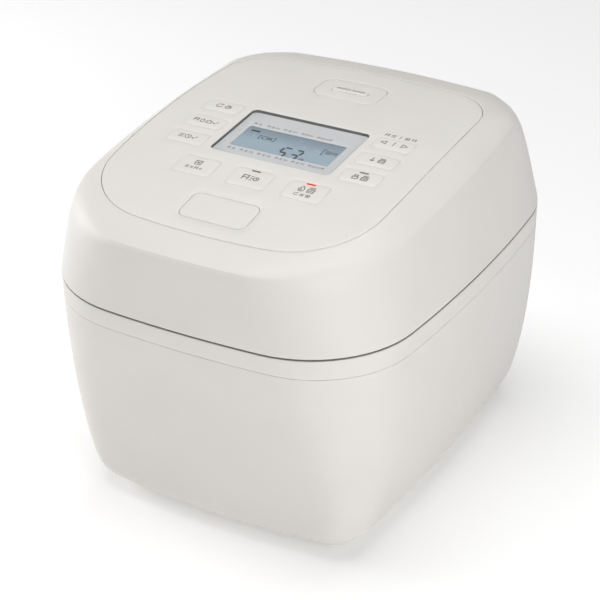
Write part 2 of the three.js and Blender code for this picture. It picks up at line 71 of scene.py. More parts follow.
# Bowed rectangles: half width, reach to front and back, and the radii of ends, sides and corners.
SEAM = dict(half=LID_HIGH[0], front=HALF_DEPTH, back=HALF_DEPTH, endR=734, sideR=1002,
            cornerF=69.2, cornerB=69.2)
FOOTPRINT = dict(half=96, front=122, back=130, endR=559, sideR=1151, cornerF=19.7, cornerB=19.7)
CREASE = dict(half=109.4, front=151.5, back=116.5, endR=850, sideR=1080, cornerF=74.1, cornerB=36)
PANEL = dict(half=93, front=129.1, back=91.5, endR=450, sideR=1247, cornerF=52.7, cornerB=37)
CREASE_Z = 61.2
CREASE_RISE = 0.081
FLANK_PULL = dict(flats=3.86, corners=2.89)
CROWN_Z = LID_HIGH[2]
CROWN_Y = 57.5
CROWN_R = 873.0
FINE = 14  # segments in a quarter stretch of an outline
FOLD_OUT = 0.3  # how far the fold lies from the smooth flank to the crease
FOLD_SPAN = 0.1  # share of the flank's steps spent on each half of the fold
FOLD_CUT = (0.15, 0.2)  # how early the lower and upper walls turn into the fold
FOLD_FADE = (0.6, 0.97)  # where the fold starts to soften and is gone, by corner share


# ---- outlines (origin at the seam's middle)
def inset(o, w):
    """The outline moved inwards by w; negative moves it out."""
    moved = {key: value - w for key, value in o.items()}
    moved["cornerF"] = max(moved["cornerF"], 0.6)
    moved["cornerB"] = max(moved["cornerB"], 0.6)
    return moved


def arc(centre, radius, start, end, steps):
    turn = (end - start) / steps
    return [(centre[0] + radius * math.cos(start + turn * i), centre[1] + radius * math.sin(start + turn * i))
            for i in range(steps)]


def corner_arc(o, mid, reach, sign, radius):
    """The arc of this radius that touches an end arc and the side arc: centres and contact angles."""
    end = Vector((0, mid + sign * (reach - o["endR"])))
    side = Vector((o["half"] - o["sideR"], mid))
    line = side - end
    span = line.length
    line.normalize()
    to_end, to_side = o["endR"] - radius, o["sideR"] - radius
    along = (to_end ** 2 - to_side ** 2 + span ** 2) / (2 * span)
    across = math.sqrt(max(to_end ** 2 - along ** 2, 0))
    centre = end + line * along + Vector((-line.y, line.x)) * across * -sign
    from_end, from_side = centre - end, centre - side
    return (end, side, centre, math.atan2(from_end.y, from_end.x), math.atan2(from_side.y, from_side.x))


def outline(o, fine=FINE):
    """Points of a bowed rectangle, counter-clockwise from the middle of the front."""
    mid, reach = (o["back"] - o["front"]) / 2, (o["back"] + o["front"]) / 2
    end_f, side, centre_f, end_af, side_af = corner_arc(o, mid, reach, -1, o["cornerF"])
    end_b, _, centre_b, end_ab, side_ab = corner_arc(o, mid, reach, 1, o["cornerB"])
    half = arc(end_f, o["endR"], -math.pi / 2, end_af, fine)
    half += arc(centre_f, o["cornerF"], end_af, side_af, fine)
    half += arc(side, o["sideR"], side_af, side_ab, 2 * fine)
    half += arc(centre_b, o["cornerB"], side_ab, end_ab, fine)
    half += arc(end_b, o["endR"], end_ab, math.pi / 2, fine)
    return half + [(0, o["back"])] + [(-x, y) for x, y in half[:0:-1]]


def rounded(half, front, back, corner, x=0.0, grow=0.0, steps=8):
    """Points of a rounded rectangle, counter-clockwise."""
    w, low, high, r = half + grow, front - grow, back + grow, max(corner + grow, 0.05)
    centres = ((x + w - r, high - r), (x - w + r, high - r), (x - w + r, low + r), (x + w - r, low + r))
    points = []
    for i, centre in enumerate(centres):
        start, end = i * math.pi / 2, (i + 1) * math.pi / 2
        points += arc(centre, r, start, end, steps)
        points.append((centre[0] + r * math.cos(end), centre[1] + r * math.sin(end)))
    return points


def about(x, y, half, depth, corner):
    """A rounded rectangle's measures, from its middle and half sizes."""
    return dict(half=half, front=y - depth, back=y + depth, corner=corner, x=x)


def level(points, z):
    return [Vector((x, y, z)) for x, y in points]


def panel_z(_, y):
    """The height of the panel, which bows from front to back only."""
    return CROWN_Z - (y - CROWN_Y) ** 2 / (2 * CROWN_R)


def draped(points, drop=0.0, height=panel_z):
    """Points laid on the panel's curve, or another height(x, y), and lowered by drop."""
    return [Vector((x, y, height(x, y) - drop)) for x, y in points]


def body_outline(depth, wall=0.0):
    """The body narrows from the seam to the footprint, slowly at first, then turns under."""
    t = depth / BODY_DROP
    shape = {key: SEAM[key] + (FOOTPRINT[key] - SEAM[key]) * t for key in SEAM}
    shape["half"] = SEAM["half"] - (SEAM["half"] - FOOTPRINT["half"]) * (0.25 * t + 0.75 * t ** 3)
    q = max(0.0, (depth - (BODY_DROP - BASE_ROUND)) / BASE_ROUND)
    under = BASE_ROUND * (1 - math.sqrt(max(0.0, 1 - q * q)))
    shape["cornerF"] += under / 2  # the corners tighten half as fast as the walls turn under
    shape["cornerB"] += under / 2
    return inset(shape, under + wall)


def body_ring(depth, wall=0.0, lift=0.0):
    return level(outline(body_outline(depth, wall)), SEAM_Z - depth + lift)


def bezier(a, b, c, t, pull=1.0):
    """A point on the curve from a to c drawn towards b; pull is the middle point's weight."""
    wa, wb, wc = (1 - t) ** 2, 2 * t * (1 - t) * pull, t * t
    return (a * wa + b * wb + c * wc) / (wa + wb + wc)


def corner_share(p):
    """0 in the middle of a side of the seam outline, 1 where it turns most."""
    return math.sin(2 * math.atan2(p.y / HALF_DEPTH, p.x / SEAM["half"])) ** 2


def folded(a, b, c, pull, t):
    """The same rise as bezier(), but as two gently bowed walls that meet in a narrow fold."""
    knee = bezier(a, b, c, 0.5, pull).lerp(b, FOLD_OUT)
    lower = bezier(a, b, c, 0.25, pull) * 2 - (a + knee) / 2
    upper = bezier(a, b, c, 0.75, pull) * 2 - (knee + c) / 2
    start, end = 0.5 - FOLD_SPAN, 0.5 + FOLD_SPAN
    low_end, high_start = 1 - FOLD_CUT[0], FOLD_CUT[1]
    if t <= start:
        return bezier(a, lower, knee, t / start * low_end)
    if t >= end:
        return bezier(knee, upper, c, high_start + (t - end) / (1 - end) * (1 - high_start))
    low, high = bezier(a, lower, knee, low_end), bezier(knee, upper, c, high_start)
    return bezier(low, knee, high, (t - start) / (end - start))


def flank(steps, foot_z, wall=0.0, edge_drop=0.0, edge_inset=0.0, fold=False):
    """Rings of the lid's flank, from its foot to the panel's edge; the fold fades out round the corners."""
    foot = level(outline(inset(SEAM, wall)), foot_z)
    crease = draped(outline(inset(CREASE, wall)), wall, lambda _, y: SEAM_Z + CREASE_Z + CREASE_RISE * y)
    edge = draped(outline(inset(PANEL, edge_inset)), edge_drop)
    rings = [[] for _ in range(steps + 1)]
    for a, b, c in zip(foot, crease, edge):
        corner = corner_share(a)
        pull = FLANK_PULL["flats"] + (FLANK_PULL["corners"] - FLANK_PULL["flats"]) * corner
        soft = min(max((corner - FOLD_FADE[0]) / (FOLD_FADE[1] - FOLD_FADE[0]), 0), 1) if fold else 1
        soft = soft * soft * (3 - 2 * soft)
        for i, ring in enumerate(rings):
            smooth = bezier(a, b, c, i / steps, pull)
            ring.append(folded(a, b, c, pull, i / steps).lerp(smooth, soft) if soft < 1 else smooth)
    return rings


# ---- mesh building
SHARP = math.radians(40)  # edges that turn more than this stay crisp
WELD = 0.002  # points nearer than this become one


def add_object(name, data):
    obj = bpy.data.objects.new(name, data)
    bpy.context.scene.collection.objects.link(obj)
    return obj


def finish_mesh(bm, name, *materials):
    """Turns a bmesh in millimetres about the seam's middle into a smooth object in metres."""
    bmesh.ops.remove_doubles(bm, verts=bm.verts, dist=WELD)
    bmesh.ops.recalc_face_normals(bm, faces=bm.faces)
    for vert in bm.verts:
        vert.co = (vert.co + Vector((0, MID_Y, 0))) * MM
    mesh = bpy.data.meshes.new(name)
    bm.to_mesh(mesh)
    bm.free()
    for polygon in mesh.polygons:
        polygon.use_smooth = True
    mesh.set_sharp_from_angle(angle=SHARP)
    for material in materials:
        mesh.materials.append(material)
    return add_object(name, mesh)


def skin(bm, rings, closed=False, material=0):
    """Quads between successive rings; closed also joins the last ring to the first."""
    rows = [[bm.verts.new(p) for p in ring] for ring in rings]
    pairs = list(zip(rows, rows[1:])) + ([(rows[-1], rows[0])] if closed else [])
    for low, high in pairs:
        for j in range(len(low)):
            k = (j + 1) % len(low)
            bm.faces.new((low[j], low[k], high[k], high[j])).material_index = material
    return rows


def stack(bm, rings):
    """Skinned rings with a flat face on each end."""
    rows = skin(bm, rings)
    bm.faces.new(rows[0][::-1])
    bm.faces.new(rows[-1])


def block(bm, low, high, corner=0.8, edge=0.3):
    """A box with round upright corners and softened top and bottom edges."""
    rect = dict(half=(high[0] - low[0]) / 2, front=low[1], back=high[1], corner=corner,
                x=(low[0] + high[0]) / 2)
    steps = [(-edge, low[2]), (0, low[2] + edge), (0, high[2] - edge), (-edge, high[2])]
    stack(bm, [level(rounded(grow=grow, steps=4, **rect), z) for grow, z in steps])


def fillet(points, radius, steps=5):
    """The polyline with its inner corners rounded; corners tighter than the radius keep what fits."""
    path = [Vector(p) for p in points]
    soft = [path[0]]
    for before, here, after in zip(path, path[1:], path[2:]):
        back, on = before - here, after - here
        reach = min(radius, back.length * 0.45, on.length * 0.45)
        start, end = here + back.normalized() * reach, here + on.normalized() * reach
        soft += [bezier(start, here, end, i / steps) for i in range(steps + 1)]
    return soft + [path[-1]]


def lathe(bm, profile, centre=(0, 0), segments=96, closed=False):
    """Turns (radius, height) pairs about an upright axis and returns the new points."""
    turns = [2 * math.pi * i / segments for i in range(segments)]
    rings = [[Vector((centre[0] + r * math.cos(a), centre[1] + r * math.sin(a), z)) for a in turns]
             for r, z in profile]
    return [vert for row in skin(bm, rings, closed) for vert in row]


def cut_out(obj, cutters):
    """Cuts the closed bmesh shapes out of an object and bakes the result into its mesh."""
    for cutter in cutters:
        tool = finish_mesh(cutter, "cutter", obj.data.materials[0])
        modifier = obj.modifiers.new("cut", "BOOLEAN")
        modifier.operation = "DIFFERENCE"
        modifier.solver = "EXACT"
        modifier.object = tool
        bpy.context.view_layer.update()
        mesh = bpy.data.meshes.new_from_object(obj.evaluated_get(bpy.context.evaluated_depsgraph_get()))
        obj.modifiers.clear()
        obj.data = mesh
        bpy.data.objects.remove(tool)
    obj.data.set_sharp_from_angle(angle=SHARP)


def inside(point, loop):
    x, y = point
    hit = False
    for (x0, y0), (x1, y1) in zip(loop, loop[1:] + loop[:1]):
        if (y0 > y) != (y1 > y) and x < (x1 - x0) * (y - y0) / (y1 - y0) + x0:
            hit = not hit
    return hit


def fill(bm, loops, lift, step=6.0):
    """A triangulated sheet inside the first loop and outside the others, lifted by lift(x, y)."""
    coords, edges = [], []
    for loop in loops:
        first = len(coords)
        coords += [Vector(p) for p in loop]
        edges += [(first + i, first + (i + 1) % len(loop)) for i in range(len(loop))]
    xs, ys = [p[0] for p in loops[0]], [p[1] for p in loops[0]]
    margin = step * 0.4
    for i in range(1, int((max(xs) - min(xs)) / step) + 1):
        for j in range(1, int((max(ys) - min(ys)) / step) + 1):
            p = (min(xs) + i * step + (j % 2) * step / 2, min(ys) + j * step)
            near = min((p[0] - x) ** 2 + (p[1] - y) ** 2 for loop in loops for x, y in loop)
            if near > margin ** 2 and inside(p, loops[0]) and not any(inside(p, hole) for hole in loops[1:]):
                coords.append(Vector(p))
    verts, _, faces, *_ = delaunay_2d_cdt(coords, edges, [], 0, 1e-5)
    made = [bm.verts.new((v.x, v.y, lift(v.x, v.y))) for v in verts]
    for face in faces:
        centre = (sum(verts[i].x for i in face) / len(face), sum(verts[i].y for i in face) / len(face))
        if inside(centre, loops[0]) and not any(inside(centre, hole) for hole in loops[1:]):
            bm.faces.new([made[i] for i in face])


def domed(bm, edge, profile, floor, holes=(), step=6.0, height=panel_z):
    """A closed plate that follows the panel's curve, or another height(x, y).

    edge(grow) gives the outer loop; profile lists (grow, drop) from the flat top out to the wall's foot.
    Each hole is (loop function, profile) in the same way, running inwards to the hole's foot.
    """
    tops, feet = [], []
    for loop, steps in [(edge, profile), *holes]:
        foot = loop(steps[-1][0])
        rings = [draped(loop(grow), drop, height) for grow, drop in steps]
        skin(bm, rings + [draped(foot, floor, height)])
        tops.append(loop(steps[0][0]))
        feet.append(foot)
    fill(bm, tops, lambda x, y: height(x, y) - profile[0][1], step)
    fill(bm, feet, lambda x, y: height(x, y) - floor, step)


def stroke(bm, points, width, drop, thickness):
    """A printed line: a thin ribbon with mitred corners that lies on the panel's curve, drop below it."""
    path = [Vector(p) for p in points]
    sections = []
    for i, here in enumerate(path):
        before = path[i - 1] if i else here
        after = path[i + 1] if i + 1 < len(path) else here
        ahead, behind = after - here, here - before
        ahead = ahead.normalized() if ahead.length else behind.normalized()
        behind = behind.normalized() if behind.length else ahead
        along = (ahead + behind).normalized()
        across = Vector((-along.y, along.x)) * width / 2 / max(along.dot(ahead), 0.5)
        left, right = here + across, here - across
        sections.append([Vector((p.x, p.y, panel_z(p.x, p.y) - drop + lift)) for p, lift in
                         ((left, 0), (right, 0), (right, thickness), (left, thickness))])
    stack(bm, sections)


def make(m, finish, name, draw, *details):
    """A finished piece: draw fills a bmesh and may return the shapes to cut out of it."""
    bm = bmesh.new()
    cutters = draw(bm, *details)
    piece = finish_mesh(bm, name, *(m[one] for one in finish.split()))
    if cutters:
        cut_out(piece, cutters)
    return piece


# ---- materials
def node_material(name, color, roughness, metallic=0.0):
    """A Principled material: (material, node tree, shader)."""
    material = bpy.data.materials.new(name)
    material.use_nodes = True
    tree = material.node_tree
    shader = tree.nodes["Principled BSDF"]
    shader.inputs["Base Color"].default_value = (*color, 1)
    shader.inputs["Roughness"].default_value = roughness
    shader.inputs["Metallic"].default_value = metallic
    shader.inputs["Specular IOR Level"].default_value = 0.5 if metallic else 0.35
    return material, tree, shader


def add_node(tree, kind, **values):
    """A new node with its input values; underscores in their names stand for spaces."""
    node = tree.nodes.new("ShaderNode" + kind)
    for socket, value in values.items():
        node.inputs[socket.replace("_", " ")].default_value = value
    return node


def placed(tree, stretch=(1, 1, 1)):
    """Object-space coordinates, in metres, stretched per axis."""
    mapping = add_node(tree, "Mapping", Scale=stretch)
    tree.links.new(add_node(tree, "TexCoord").outputs["Object"], mapping.inputs["Vector"])
    return mapping.outputs["Vector"]


def noise(tree, scale, detail=3.0, roughness=0.5, stretch=(1, 1, 1)):
    """A noise texture in object space, in features per metre."""
    texture = add_node(tree, "TexNoise", Scale=scale, Detail=detail, Roughness=roughness)
    tree.links.new(placed(tree, stretch), texture.inputs["Vector"])
    return texture.outputs["Fac"]


def vary_color(tree, shader, factor, low, high, start=0.3, end=0.7):
    blend = add_node(tree, "ValToRGB")
    for stop, position, color in zip(blend.color_ramp.elements, (start, end), (low, high)):
        stop.position = position
        stop.color = (*color, 1)
    tree.links.new(factor, blend.inputs["Fac"])
    tree.links.new(blend.outputs["Color"], shader.inputs["Base Color"])


def vary_roughness(tree, shader, factor, low, high):
    span = add_node(tree, "MapRange", To_Min=low, To_Max=high)
    tree.links.new(factor, span.inputs["Value"])
    tree.links.new(span.outputs["Result"], shader.inputs["Roughness"])


def add_bump(tree, shader, factor, strength, distance):
    bump = add_node(tree, "Bump", Strength=strength, Distance=distance)
    tree.links.new(factor, bump.inputs["Height"])
    tree.links.new(bump.outputs["Normal"], shader.inputs["Normal"])


def plastic(name, color, roughness, grain=0.00003, tint=0.012):
    """Moulded plastic: faint cloudy tone, slightly uneven gloss and a fine satin grain."""
    material, tree, shader = node_material(name, color, roughness)
    low, high = [c * (1 - tint) for c in color], [min(c * (1 + tint), 1) for c in color]
    vary_color(tree, shader, noise(tree, 28, 2), low, high)
    vary_roughness(tree, shader, noise(tree, 60, 3), roughness - 0.03, roughness + 0.04)
    add_bump(tree, shader, noise(tree, 2600, 2, 0.6), 0.25, grain)
    return material


def brushed(name, color, roughness, stretch=(1, 20, 20)):
    """Bare metal with fine drawn lines along X."""
    material, tree, shader = node_material(name, color, roughness, 1.0)
    lines = noise(tree, 90, 3, 0.5, stretch)
    vary_color(tree, shader, lines, [c * 0.93 for c in color], color)
    vary_roughness(tree, shader, lines, roughness - 0.03, roughness + 0.06)
    add_bump(tree, shader, lines, 0.1, 0.000006)
    return material


def pot_coating():
    """Dark non-stick coating with fine pale flecks."""
    base, fleck = (0.035, 0.032, 0.03), (0.2, 0.18, 0.16)
    material, tree, shader = node_material("speckled_pot_coating", base, 0.36, 0.25)
    vary_color(tree, shader, noise(tree, 900, 2, 0.7), base, fleck, 0.62, 0.75)
    vary_roughness(tree, shader, noise(tree, 80, 2), 0.3, 0.42)
    add_bump(tree, shader, noise(tree, 1500, 2), 0.2, 0.00003)
    return material


def winding():
    """Copper litz wire wound in a flat spiral: fine rings about the coil's axis."""
    color = (0.62, 0.26, 0.1)
    material, tree, shader = node_material("copper_winding", color, 0.35, 0.8)
    rings = add_node(tree, "TexWave", Scale=160)
    rings.wave_type = "RINGS"
    rings.rings_direction = "Z"
    tree.links.new(placed(tree), rings.inputs["Vector"])
    vary_color(tree, shader, rings.outputs["Fac"], [c * 0.45 for c in color], color, 0.0, 0.6)
    add_bump(tree, shader, rings.outputs["Fac"], 0.7, 0.0004)
    return material


def circuit_board():
    """Green laminate with paler copper runs showing through."""
    green, shade, copper = (0.02, 0.12, 0.05), (0.018, 0.1, 0.045), (0.05, 0.24, 0.09)
    material, tree, shader = node_material("board_laminate", green, 0.4)
    runs = add_node(tree, "TexBrick", Scale=60, Mortar_Size=0.03, Color1=(*green, 1), Color2=(*shade, 1),
                    Mortar=(*copper, 1))
    tree.links.new(placed(tree), runs.inputs["Vector"])
    tree.links.new(runs.outputs["Color"], shader.inputs["Base Color"])
    return material


def display_glass():
    """Unlit blue-grey display, deeper towards the back where the frame shades it."""
    near, far = (0.385, 0.485, 0.555), (0.235, 0.3, 0.355)
    material, tree, shader = node_material("display_glass", near, 0.25)
    split = add_node(tree, "SeparateXYZ")
    tree.links.new(placed(tree), split.inputs["Vector"])
    depth = add_node(tree, "MapRange", From_Min=(GLASS["front"] + MID_Y) * MM,
                     From_Max=(GLASS["back"] + MID_Y) * MM)
    tree.links.new(split.outputs["Y"], depth.inputs["Value"])
    vary_color(tree, shader, depth.outputs["Result"], near, far, 0.45, 1.0)
    vary_roughness(tree, shader, noise(tree, 300, 2), 0.22, 0.3)
    return material


def clear_cover():
    """The display's clear cover: mostly see-through, with a soft gloss."""
    material, tree, shader = node_material("clear_cover", (0.5, 0.54, 0.58), 0.12)
    shader.inputs["Alpha"].default_value = 0.07
    vary_roughness(tree, shader, noise(tree, 90, 2), 0.08, 0.16)
    return material


def lamp(name, color, glow, strength):
    """A tinted lamp lens, evenly lit by glow."""
    material, tree, shader = node_material(name, color, 0.3)
    shader.inputs["Emission Color"].default_value = (*glow, 1)
    shader.inputs["Emission Strength"].default_value = strength
    vary_color(tree, shader, noise(tree, 400, 2), [c * 0.8 for c in color], color)
    return material


CREAM = (0.745, 0.722, 0.69)
PANEL_CREAM = (0.76, 0.74, 0.71)


def make_materials():
    return {
        "shell": plastic("satin_cream_shell", CREAM, 0.42),
        "panel": plastic("satin_cream_panel", PANEL_CREAM, 0.4),
        "inner": plastic("matt_pale_liner", (0.66, 0.64, 0.6), 0.5),
        "dark": plastic("dark_plastic", (0.03, 0.03, 0.032), 0.45, tint=0.05),
        # painted shade: this dark grey stands in for the shadow inside the gap between lid and body
        "rim": plastic("painted_gap_shade", (0.3, 0.29, 0.272), 0.6, tint=0.05),
        # painted shade: this dark grey stands in for the shadow on the window recess's wall
        "gap": plastic("window_recess_shade", (0.16, 0.157, 0.147), 0.6, tint=0.05),
        "rubber": plastic("black_rubber", (0.02, 0.02, 0.021), 0.8, 0.00008, 0.1),
        "seal": plastic("silicone_seal", (0.46, 0.45, 0.42), 0.62, 0.00005, 0.03),
        "steel": brushed("brushed_steel", (0.6, 0.6, 0.6), 0.3),
        "pressed": brushed("pressed_steel", (0.66, 0.66, 0.65), 0.34, (0.5, 12, 12)),
        "pot": pot_coating(),
        "copper": winding(),
        "ferrite": plastic("ferrite_ceramic", (0.03, 0.03, 0.033), 0.75, 0.00006, 0.15),
        "board": circuit_board(),
        "silver": plastic("silver_print", (0.675, 0.68, 0.685), 0.45, tint=0.02),
        "display": display_glass(),
        "clear": clear_cover(),
        "segments": plastic("display_segments", (0.016, 0.024, 0.032), 0.5, tint=0.05),
        "ink": plastic("brown_grey_print", (0.165, 0.135, 0.1), 0.6, tint=0.04),
        "pale_ink": plastic("grey_print", (0.2, 0.2, 0.205), 0.6, tint=0.04),
        "lamp_off": lamp("lamp_unlit", (0.17, 0.16, 0.145), (0, 0, 0), 0.0),
        "lamp_red": lamp("lamp_lit_red", (0.42, 0.012, 0.008), (1.0, 0.05, 0.02), 0.14),
        "halo": lamp("lamp_glow_rim", (0.8, 0.42, 0.36), (1.0, 0.5, 0.42), 0.5),
    }


# ---- shells
POT_HOLE_R = 97.5
TRAY_DROP = 4.5
HINGE_Y, HINGE_Z = HALF_DEPTH, SEAM_Z + 2.5
LATCH_Y = -139.0
INLET = dict(x=-62.0, z=46.0, half=15.5, rise=10.5, front=110.0, back=132.0)


def box_cutter(low, high):
    bm = bmesh.new()
    block(bm, low, high, corner=0.6, edge=0.05)
    return bm


def along_hinge(bm, profile, **options):
    """Turns (radius, x) pairs about the hinge pin."""
    verts = lathe(bm, profile, **options)
    turn = Matrix.Translation((0, HINGE_Y, HINGE_Z)) @ Matrix.Rotation(math.pi / 2, 4, "Y")
    bmesh.ops.transform(bm, matrix=turn, verts=verts)


def hinge_cutter():
    """The round clearance that the hinge's barrels turn in."""
    bm = bmesh.new()
    along_hinge(bm, [(0, -35.5), (5.6, -35.5), (5.6, 35.5), (0, 35.5)], segments=48)
    return bm


def body_shell(bm):
    """The outer case: smooth walls that turn under to the base opening, with a real wall inside."""
    low = BODY_DROP - BASE_ROUND
    top = BAND + 0.16
    straight = [top + 0.5 + (low - top - 0.5) * i / 14 for i in range(15)]
    turn = [low + BASE_ROUND * math.sin(math.pi / 2 * i / 10) for i in range(1, 11)]
    rings = [body_ring(d) for d in reversed(straight + turn)]
    rings += [body_ring(top + 0.12, 0.05), body_ring(top, 0.2), body_ring(top, WALL)]
    rings += [body_ring(d, WALL) for d in straight]
    rings += [body_ring(d, WALL, WALL) for d in turn]
    skin(bm, rings, closed=True)
    x, z, half, rise = (INLET[key] for key in ("x", "z", "half", "rise"))
    return [box_cutter((x - half, 90, z - rise), (x + half, 160, z + rise))]


def band_and_deck(bm):
    """The band under the seam, its rim painted dark grey as painted shade for the seam's gap, the tray behind
    it and the deck round the pot.
    """
    deck = SEAM_Z - TRAY_DROP
    outer = [body_ring(BAND, WALL), body_ring(BAND, 0.2), body_ring(BAND - 0.12, 0.05)]
    outer += [body_ring(d) for d in (BAND - 0.5, 10, 6, 3, 1.5)]
    outer += [body_ring(1.0, 0.12), body_ring(0.65, 0.4)]
    # the rim's top just inside the seam takes the dark grey painted shade of the gap
    rim = [body_ring(0.65, 0.4), body_ring(SPLIT, 1.0), body_ring(SPLIT, 2.6)]
    tray = [body_ring(SPLIT, 2.6), body_ring(SPLIT, 5.2)]
    tray += [level(outline(inset(SEAM, w)), SEAM_Z - d) for w, d in
             ((5.7, 0.6), (6.0, 1.1), (6.0, 3.9), (6.4, 4.4), (7.0, TRAY_DROP))]
    rays = [Vector((p.x, p.y, 0)).normalized() for p in tray[-1]]
    round_hole = [Vector((ray.x, ray.y, 0)) * (POT_HOLE_R + 2) + Vector((0, 0, deck)) for ray in rays]
    tray += [[p.lerp(h, share) for p, h in zip(tray[-1], round_hole)] for share in (0.35, 0.7, 0.92)]
    lip = [(1.5, 0), (0.5, 0.25), (0.1, 0.9), (0, 3.0), (3.0, 3.0)]
    tray += [[ray * (POT_HOLE_R + w) + Vector((0, 0, deck - d)) for ray in rays] for w, d in lip]
    tray += [level(outline(inset(SEAM, WALL + 3)), deck - 3.0), outer[0]]
    for material, rings in enumerate((outer + rim[:1], rim, tray)):
        skin(bm, rings, material=material % 2)
    seat = box_cutter((-35, HINGE_Y - 8, SEAM_Z - TRAY_DROP), (35, HINGE_Y - 2.6, SEAM_Z + 1))
    slot = box_cutter((-9, LATCH_Y - 7, SEAM_Z - 20), (9, LATCH_Y + 6, SEAM_Z + 5))
    return [hinge_cutter(), seat, slot]


def lid_flank(bm):
    """The lid's shell: flank with a soft foot, a fine lip at the panel and the real wall inside."""
    foot = SEAM_Z + SPLIT
    under = [(WALL, 0.1), (1.3, 0.1), (0.6, 0.12), (0.2, 0.35), (0.04, 0.7)]
    rings = [level(outline(inset(SEAM, w)), foot + z) for w, z in under]
    rings += flank(60, foot + 1.1, fold=True)[:-1]
    ledge, under_ledge, ledge_width = PANEL_T + 0.3, PANEL_T + 2.3, 4.5
    lip = [(-0.25, 0.02), (-0.05, 0.1), (0.05, 0.32), (0.05, ledge), (ledge_width, ledge),
           (ledge_width, under_ledge)]
    rings += [draped(outline(inset(PANEL, w)), d) for w, d in lip]
    rings += flank(16, foot + 0.1, WALL, under_ledge, ledge_width)[-2::-1]
    skin(bm, rings, closed=True)
    arm = box_cutter((-22.2, HINGE_Y - 12, HINGE_Z - 1), (22.2, HINGE_Y - 2, HINGE_Z + 4))
    return [hinge_cutter(), arm]


# ---- control panel
SIDE_X, FRONT_X = 59.6, 37.1
SIDE_KEY = dict(width=25.4, depth=14.0)
FRONT_KEY = dict(width=25.8, depth=18.7)
ROWS = (-0.9, -22.6, -43.4)
FRONT_ROW = -69.7
KEYS = {name: (side * SIDE_X, row, SIDE_KEY)
        for side, names in ((-1, ("rice", "style", "course")), (1, ("select", "small", "keep_warm")))
        for name, row in zip(names, ROWS)}
KEYS.update({name: (side * FRONT_X, FRONT_ROW, FRONT_KEY)
             for side, name in ((-1, "cancel"), (0, "timer"), (1, "cook"))})
LIGHTS = {"keep_warm": 4.2, "timer": 7.2, "cook": 7.2}  # how far each lamp lies behind its key's middle
KEY_PROUD = 0.46
WINDOW = dict(half=41, front=-49.3, back=5.3, corner=3.6)
GLASS = dict(half=33.8, front=-37.5, back=-11.8, corner=0.6)
BUTTON = dict(half=22.3, front=-116.4, back=-92.9, corner=5.4)
VENT = dict(half=22.5, front=41.8, back=70.2, corner=9.0)
PILL = dict(half=12.6, front=52.4, back=58.6, corner=3.05)


def loop_of(rect, **options):
    return lambda grow: rounded(grow=grow, **rect, **options)


def key_rect(name):
    x, y, size = KEYS[name]
    return about(x, y, size["width"] / 2, size["depth"] / 2, 2.8)


def lamp_rect(name):
    x, y, _ = KEYS[name]
    return about(x, y + LIGHTS[name], 3.1, 0.75, 0.6)


def control_panel(bm):
    """The domed plate with soft-edged openings for the keys, window, button and steam cap."""
    fine = [(0.16, 0.0), (0.1, 0.02), (0.06, 0.08), (0.05, 0.5)]
    crisp = [(0.5, 0.0), (0.3, 0.05), (0.2, 0.22), (0.18, 0.5)]
    sill = [(0.55, 0.0), (0.36, 0.05), (0.2, 0.25), (0.17, 0.5)]
    ledge = [(2.1, 0.0), (1.9, 0.08), (1.72, 0.4), (1.5, 0.46), (0.6, 0.4), (0.4, 0.44), (0.3, 0.6),
             (0.28, 1.1)]
    holes = [(loop_of(key_rect(name)), fine) for name in KEYS]
    holes += [(loop_of(WINDOW), sill), (loop_of(BUTTON), ledge), (loop_of(VENT), crisp)]
    edge = [(-0.9, 0.0), (-0.62, 0.05), (-0.45, 0.22), (-0.4, 0.5)]
    domed(bm, lambda grow: outline(inset(PANEL, -grow)), edge, PANEL_T, holes)


def key_cap(bm, name):
    """A key: a low soft pillow just proud of the panel, with an opening for its lamp where it has one."""
    pillow = [(-3.6, -KEY_PROUD), (-2.8, -0.44), (-2.1, -0.38), (-1.4, -0.28), (-0.8, -0.16), (-0.35, -0.07),
              (-0.08, -0.01), (0.0, 0.3)]
    rim = 0.75 if name == "cook" else 0.05
    mouth = [(rim + 0.1, -KEY_PROUD), (rim + 0.02, -0.43), (rim, -0.3)]
    holes = [(loop_of(lamp_rect(name)), mouth)] if name in LIGHTS else ()
    domed(bm, loop_of(key_rect(name)), pillow, 2.1, holes, step=3.0)


def key_lamp(bm, name):
    lens = [(-0.4, -KEY_PROUD - 0.04), (-0.12, -KEY_PROUD), (0.0, -0.3)]
    domed(bm, loop_of(lamp_rect(name)), lens, 2.6, step=2.0)


def lamp_rim_cook(bm):
    """The pale rim that the lit lamp shines through."""
    around = loop_of(lamp_rect("cook"))
    hole = (around, [(0.06, -KEY_PROUD), (0.03, -0.4)])
    domed(bm, around, [(0.7, -KEY_PROUD), (0.72, -0.4)], 1.0, [hole], step=2.0)


def lid_button(bm):
    edge = [(-0.7, 0.22), (-0.35, 0.26), (-0.1, 0.46), (0.0, 0.8)]
    domed(bm, loop_of(BUTTON), edge, 3.4)


